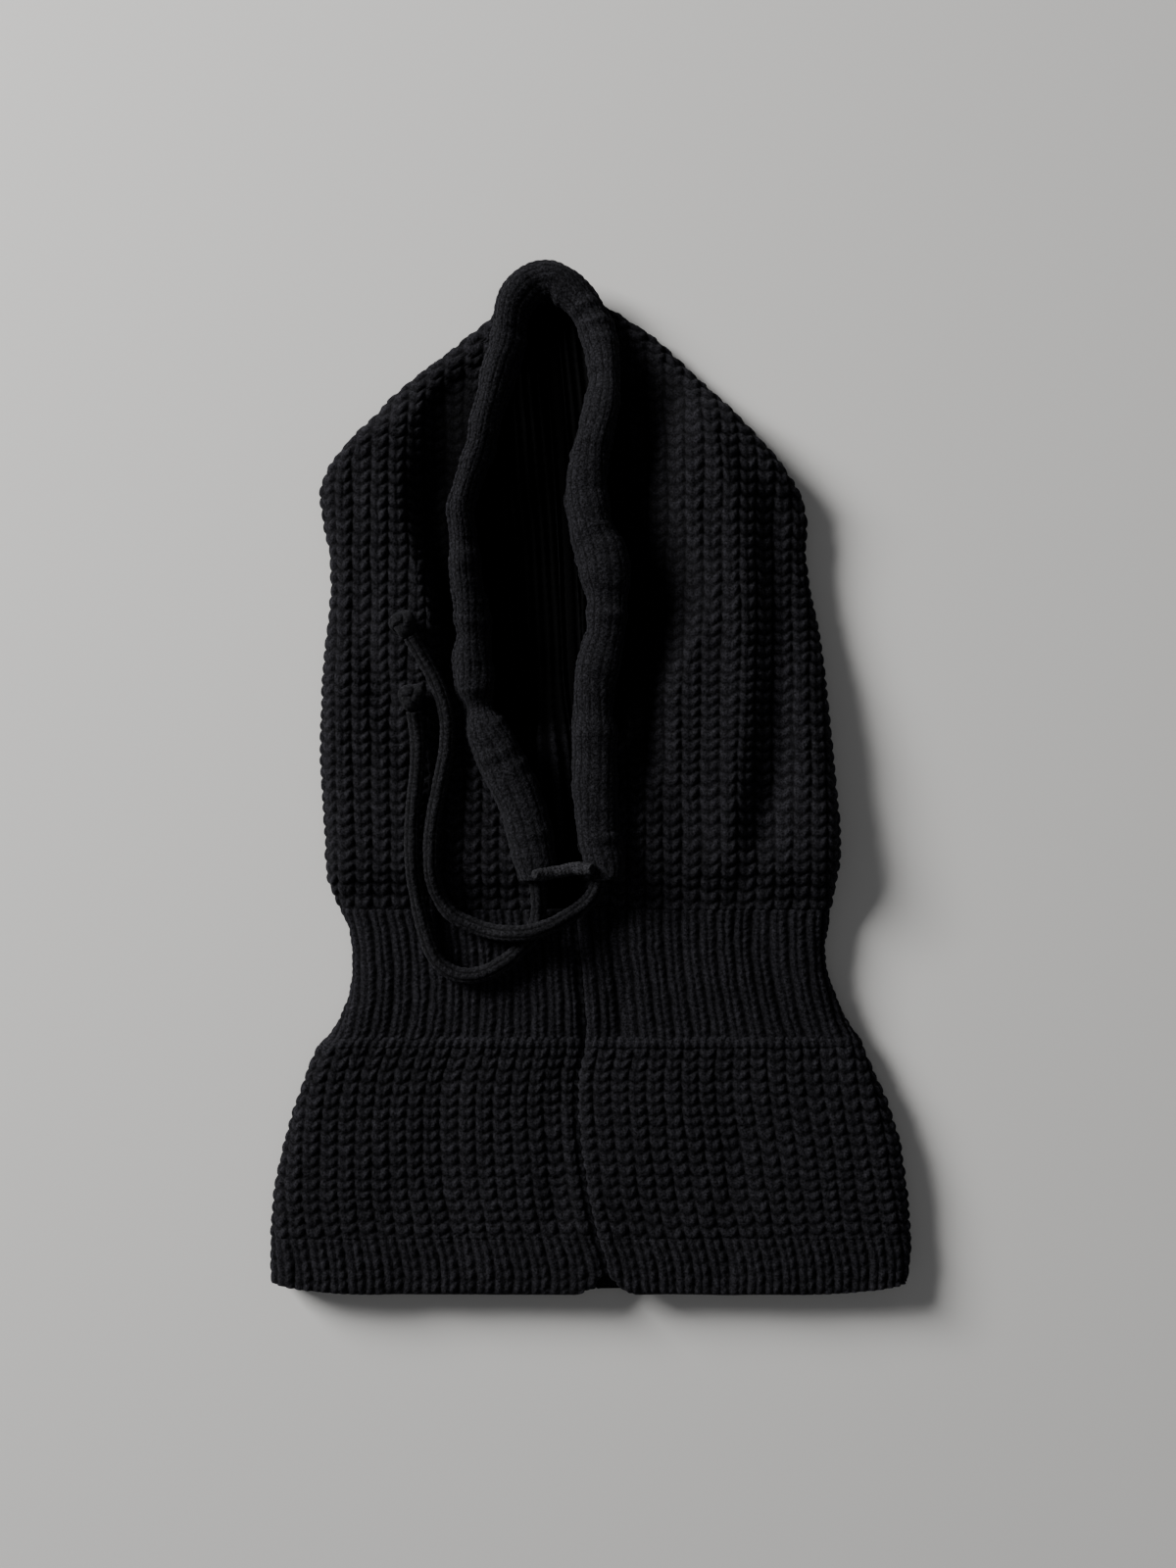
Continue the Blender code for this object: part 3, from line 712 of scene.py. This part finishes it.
def make_link(line):
    """A row of stitches on the channel's outer edge, along a line of points."""
    route = resample(line[::6], 0.8)

    def surface(s, a):
        bump = np.abs(np.sin(np.pi * s / LINK_PITCH)) ** 0.6
        swell = 0.7 + 0.3 * bump
        return LINK_RADIUS * np.cos(a) * swell, LINK_RADIUS * np.sin(a) * swell, 0.2 + 0.8 * bump

    return tube_object("channel_link_stitches", route, surface, 10)


def make_seam(name, keys, span, top, half_width, half_height, light=None):
    """A line of linking stitches along the garment. top(x, y) gives the height of its upper side."""
    y = np.linspace(*span, round((span[1] - span[0]) / 0.7) + 1)
    x = monotone(keys, y)
    points = np.stack([x, y, top(x, y) - half_height], -1)

    def surface(s, a):
        link = s / 4.6 + 0.12 * np.sin(2 * a)
        bump = np.abs(np.sin(np.pi * link)) ** 0.6
        height = bump * (0.85 + 0.3 * (chance(np.floor(link), 2, 7) - 0.5))
        swell = 0.72 + 0.28 * height
        # Painted shade: the seam's upper side darkens up the opening as the inside of the hood does.
        if light:
            painted_lit = np.where(np.sin(a) > 0, light(span[0] + s), 1.0)
            height = height * painted_lit - (1 - painted_lit)
        return half_width * np.cos(a) * swell, half_height * np.sin(a) * (0.8 + 0.2 * height), height

    return tube_object(name, points, surface, 14)


def back_seam_top(x, y):
    """Height of the back seam's upper side, which follows the folds of the back."""
    return 5.6 + back_lift(x, y)


def make_bar():
    """The stitched bar across the throat: yarn wrapped round and round a short core."""
    t = np.linspace(-1, 1, 90)
    x = (BAR_ENDS[0] + BAR_ENDS[1]) / 2 + (BAR_ENDS[1] - BAR_ENDS[0]) / 2 * t
    y = BAR_Y + 1.2 * t + 0.4 * np.sin(3.1 * t)
    points = np.stack([x, y, CHANNEL_Z + BAR_RISE + BAR_ARCH * t ** 2], -1)

    def surface(s, a):
        turn = s / 2.2 + a / (2 * np.pi) + 0.5 * cloud(s, a, 3.4, 18)
        height = 0.5 + 0.5 * np.abs(np.sin(np.pi * turn)) ** 0.7
        ends = 1 - 0.25 * (2 * s / s.max() - 1) ** 4
        radius = 0.35 * height + 0.5 * cloud(s, a * 2, 3.0, 14)
        return (BAR_HALF[0] * ends + radius) * np.cos(a), (BAR_HALF[1] * ends + radius) * np.sin(a), height

    return tube_object("throat_bar", points, surface, 28)


def cord_height(x, y, crosses):
    """Height of a free cord's middle line where it lies on the front face."""
    lying = float(front_height(y)) + CORD_DIAMETER / 2 + CORD_CLEARANCE
    away = math.dist((x, y), CROSSING) / CROSSING_REACH
    lift = CROSSING_LIFT * (1 - float(smoothstep(0.12, 1.0, away))) if crosses else 0.0
    near_exit = float(smoothstep(THROAT_Y - 16, THROAT_Y, y)) if -30 < x < 10 else 0.0
    return max(lying + lift, lying + (CHANNEL_Z - lying) * near_exit)


def cord_surface(s, a):
    """A knitted round cord: columns of small stitches running along it."""
    height = stitch_columns(a / (2 * np.pi) * CORD_COLUMNS, s / CORD_ROW, 31, depth=0.6, roundness=3.0)
    radius = CORD_DIAMETER / 2 - 0.45 + 0.75 * (height - 0.25) + 0.10 * cloud(s, a, 4.0, 2)
    return radius * np.cos(a), radius * np.sin(a), height


def make_cord_end(label, exit_point, route, crosses):
    """A free cord end with the straight run that lies in the channel."""
    lean = math.radians(PULL_LEAN_DEG)
    pull = np.array([math.sin(lean), -math.cos(lean), 0.0])
    out = np.array([*exit_point, CHANNEL_Z])
    straight = [out - pull * d for d in (STRAIGHT_RUN, STRAIGHT_RUN * 0.66, STRAIGHT_RUN * 0.33)]
    lying = [np.array([x, y, cord_height(x, y, crosses)]) for x, y in route]
    lying[-1][2] += KNOT_SIZE[2] / 2 - CORD_DIAMETER / 2
    path = resample(straight + [out] + lying, TUBE_STEP)
    piece = tube_object("drawcord_" + label, path, cord_surface, 30)
    return piece, path


def make_knot(label, path):
    """A tight overhand knot on a cord's end."""
    along = path[-1] - path[-4]
    along[2] = 0.0
    along /= np.linalg.norm(along)
    across = np.array([-along[1], along[0], 0.0])
    centre = path[-1] + along * (KNOT_SIZE[0] / 2 - 0.6)
    t = np.linspace(0.15, 2 * np.pi - 0.1, 140)
    loop = np.stack([
        (np.cos(t) - 2 * np.cos(2 * t)) * KNOT_SPREAD[0],
        (np.sin(t) + 2 * np.sin(2 * t)) * KNOT_SPREAD[1],
        -np.sin(3 * t) * KNOT_SPREAD[2],
    ], -1)
    points = centre + loop[:, :1] * along + loop[:, 1:2] * across + loop[:, 2:] * np.array([0, 0, 1.0])

    def surface(s, a):
        height = stitch_columns(a / (2 * np.pi) * CORD_COLUMNS, s / CORD_ROW, 33, depth=0.6, roundness=3.0)
        radius = KNOT_STRAND + 0.7 * (height - 0.3)
        return radius * np.cos(a), radius * np.sin(a), height

    return tube_object("knot_" + label, points, surface, 26)


# ---------------------------------------------------------------- materials


SHEEN_TINT = (0.55, 0.55, 0.62)

def knit_material(name, colour):
    """Matt dark yarn with fine fibres: darker between stitches from painted shade, lighter and fuzzier on
    their tops from a painted highlight.
    """
    made = bpy.data.materials.new(name)
    made.use_nodes = True
    tree = made.node_tree
    shader = tree.nodes["Principled BSDF"]
    shader.inputs["Roughness"].default_value = 0.93
    shader.inputs["Specular IOR Level"].default_value = 0.06
    shader.inputs["Sheen Weight"].default_value = 0.03
    shader.inputs["Sheen Roughness"].default_value = 0.55
    shader.inputs["Sheen Tint"].default_value = (*SHEEN_TINT, 1.0)

    def node(kind, **values):
        n = tree.nodes.new(kind)
        for key, value in values.items():
            setattr(n, key, value)
        return n

    place = node("ShaderNodeTexCoord")
    stitch = node("ShaderNodeAttribute", attribute_name="stitch")
    fibre = node("ShaderNodeTexNoise")
    fibre.inputs["Scale"].default_value = 1250.0
    fibre.inputs["Detail"].default_value = 3.0
    fibre.inputs["Roughness"].default_value = 0.65
    blotch = node("ShaderNodeTexNoise")
    blotch.inputs["Scale"].default_value = 160.0
    blotch.inputs["Detail"].default_value = 3.0
    for n in (fibre, blotch):
        tree.links.new(place.outputs["Object"], n.inputs["Vector"])

    def mapped(source, from_min, from_max, to_min, to_max):
        n = node("ShaderNodeMapRange")
        ends = {"From Min": from_min, "From Max": from_max, "To Min": to_min, "To Max": to_max}
        for label, value in ends.items():
            n.inputs[label].default_value = value
        tree.links.new(source.outputs["Fac"], n.inputs["Value"])
        return n.outputs["Result"]

    def times(one, other):
        n = node("ShaderNodeMath", operation="MULTIPLY")
        tree.links.new(one, n.inputs[0])
        tree.links.new(other, n.inputs[1])
        return n.outputs[0]

    # Painted shade in the gaps between stitches and a painted highlight on their tops, from the stitch
    # height.
    painted_crease_shade_and_tip_light = mapped(stitch, 0.05, 0.95, 0.06, 1.75)
    # Fibre speckle: partly the yarn's random tone, partly painted glints where fibres would catch the light.
    heather_and_painted_glint = mapped(fibre, 0.36, 0.66, 0.12, 2.3)
    wear = mapped(blotch, 0.0, 1.0, 0.8, 1.2)
    # Painted shade inside the hood: negative stitch values darken the yarn down to black.
    sunk_painted_shade = mapped(stitch, -1.0, 0.0, 0.0, 1.0)
    shade = times(times(times(painted_crease_shade_and_tip_light, heather_and_painted_glint), wear), sunk_painted_shade)
    scaled = node("ShaderNodeVectorMath", operation="SCALE")
    scaled.inputs[0].default_value = colour
    tree.links.new(shade, scaled.inputs["Scale"])
    tree.links.new(scaled.outputs[0], shader.inputs["Base Color"])

    bump = node("ShaderNodeBump")
    bump.inputs["Strength"].default_value = 0.8
    bump.inputs["Distance"].default_value = 0.0006
    tree.links.new(fibre.outputs["Fac"], bump.inputs["Height"])
    tree.links.new(bump.outputs["Normal"], shader.inputs["Normal"])
    return made


def finish_piece(piece, body, material, slot, *replaced):
    """Gives a piece its material and lets it stand for the model's nodes; its slot is not used."""
    piece.data.materials.append(material)
    if replaced:
        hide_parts(*replaced)
    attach(piece, body)


# ---------------------------------------------------------------- the scene


def add_camera():
    """Straight above the garment, as far up as fills the frame with it."""
    data = bpy.data.cameras.new("camera")
    data.sensor_fit = "VERTICAL"
    data.sensor_height = 36.0
    high_m, view_m, middle_m = 0.75, 0.680, 0.016
    data.lens = 36.0 * (high_m - middle_m) / view_m
    camera = bpy.data.objects.new("camera", data)
    camera.location = (-0.0013, -0.0021, high_m)
    bpy.context.scene.collection.objects.link(camera)
    bpy.context.scene.camera = camera


def add_light(name, place, size, power):
    """A soft square lamp aimed at the garment."""
    data = bpy.data.lights.new(name, "AREA")
    data.size = size
    data.energy = power
    lamp = bpy.data.objects.new(name, data)
    lamp.location = place
    lamp.rotation_euler = (Vector((0, 0, 0)) - Vector(place)).to_track_quat("-Z", "Y").to_euler()
    bpy.context.scene.collection.objects.link(lamp)


def add_surroundings():
    """Plain pale floor and soft studio light from the upper left."""
    world = bpy.data.worlds.new("studio")
    world.use_nodes = True
    world.node_tree.nodes["Background"].inputs["Color"].default_value = (0.93, 0.95, 1.0, 1.0)
    world.node_tree.nodes["Background"].inputs["Strength"].default_value = 0.10
    bpy.context.scene.world = world
    add_light("key", (-1.80, 1.18, 1.10), 0.9, 120.0)
    add_light("fill", (0.3, -0.2, 2.0), 1.4, 2.2)
    bpy.ops.mesh.primitive_plane_add(size=8.0)
    floor = bpy.context.object
    floor.name = "floor"
    pale = bpy.data.materials.new("pale_floor")
    pale.use_nodes = True
    pale.node_tree.nodes["Principled BSDF"].inputs["Base Color"].default_value = (0.62, 0.61, 0.59, 1.0)
    pale.node_tree.nodes["Principled BSDF"].inputs["Roughness"].default_value = 0.9
    floor.data.materials.append(pale)


add_camera()
add_surroundings()

chunky = knit_material("chunky_knit", (0.0060, 0.0058, 0.0069))
fine = knit_material("fine_knit", (0.0062, 0.0060, 0.0072))
jersey = knit_material("jersey", (0.0062, 0.0061, 0.0071))
cord_yarn = knit_material("cord_knit", (0.0060, 0.0059, 0.0067))
seam_yarn = knit_material("seam_yarn", (0.0062, 0.0061, 0.0071))
thread = knit_material("bar_thread", (0.0105, 0.0104, 0.0115))


def chunky_pattern(seed):
    return lambda u, v: stitch_columns(u, v, seed, slant=0.5, depth=0.9, roundness=4.5, split=0.26, gap=0.84)


def hem_pattern(seed):
    return lambda u, v: stitch_columns(u, v, seed, depth=0.5, split=0.55, gap=0.95)


def fine_pattern(seed):
    return lambda u, v: stitch_columns(u, v, seed, slant=0.75, depth=0.45, roundness=2.6, split=0.62)


def border_pattern(seed):
    def pattern(u, v):
        across = np.linspace(0, 1, len(v))[:, None] * np.ones_like(v)
        return 1.35 * purl_row(u, across, seed)
    return pattern


def add_section(label, side, section, span, columns, row, relief, pattern, material, slot, **options):
    """One half section with its finish, and the size that it was knitted to."""
    front_edge = channel_side if section == "hood" else seam_side
    piece, cut = half_section(f"{section}_knit_{label}", side, span, front_edge, columns, row, relief,
                              pattern, **options)
    finish_piece(piece, "garment", material, slot, NODE_OF[section] + label)
    return piece, cut


for label, side in (("left", -1), ("right", 1)):
    hood = add_section(label, side, "hood", HOOD, -HOOD_COLUMN_WIDTH, HOOD_ROW, CHUNKY_RELIEF,
                       chunky_pattern(side + 2), chunky, "chunky_rib_knit", inner_step=1,
                       inner_relief=INNER_RELIEF)
    neck = add_section(label, side, "neck", NECK, NECK_COLUMNS, NECK_ROW, FINE_RELIEF,
                       fine_pattern(side + 5), fine, "fine_rib_knit", fan_width=NECK_WIDTH)
    bib = add_section(label, side, "bib", BIB, BIB_COLUMNS, CHUNKY_ROW, CHUNKY_RELIEF,
                      chunky_pattern(side + 8), chunky, "chunky_rib_knit")
    border = add_section(label, side, "border", BORDER, BIB_COLUMNS, CHUNKY_ROW, CHUNKY_RELIEF,
                         border_pattern(side + 11), chunky, "raised_row_knit")
    hem = add_section(label, side, "hem", HEM, BIB_COLUMNS, CHUNKY_ROW, CHUNKY_RELIEF,
                      hem_pattern(side + 8), chunky, "hem_rib_knit", edge_low=True)

channel, channel_middle, channel_run, channel_edge = make_channel()
finish_piece(channel, "garment", jersey, "jersey_channel", "face_channel")
finish_piece(make_link(channel_edge), "garment", seam_yarn, "seam_yarn")

for label, exit_point, route, crosses in (
    ("right", RIGHT_CORD_EXIT, RIGHT_CORD_ROUTE, True),
    ("left", LEFT_CORD_EXIT, LEFT_CORD_ROUTE, False),
):
    body = label + "_cord_end"
    cord, path = make_cord_end(label, exit_point, route, crosses)
    knot = make_knot(label, path)
    finish_piece(cord, body, cord_yarn, "drawcord_knit", "drawcord_end_" + label)
    finish_piece(knot, body, cord_yarn, "drawcord_knit", "stopper_knot_" + label)

back_seam = make_seam("back_seam_stitches", BACK_SEAM, (HEM[0], HOOD[1]), back_seam_top, 2.6, 2.6,
                      painted_inside_lightness)
finish_piece(back_seam, "garment", seam_yarn, "seam_yarn", "crown_and_back_seam")
front_seam = make_seam("front_seam_stitches", FRONT_SEAM, (NOTCH_TOP_Y, NECK[1]),
                       lambda x, y: front_height(y) + folds(x, y) - 2.6, 2.4, 1.5)
finish_piece(front_seam, "garment", seam_yarn, "seam_yarn", "centre_front_seam")
finish_piece(make_bar(), "garment", thread, "bartack_thread", "throat_bartack")
in_reach = (channel_run > CORE_START) & (channel_run < channel_run[-1] - CORE_START)
core = resample(channel_middle[in_reach][::8], 1.2)
finish_piece(tube_object("drawcord_middle", core, cord_surface, 24), "garment", cord_yarn, "drawcord_knit",
             "drawcord_core")
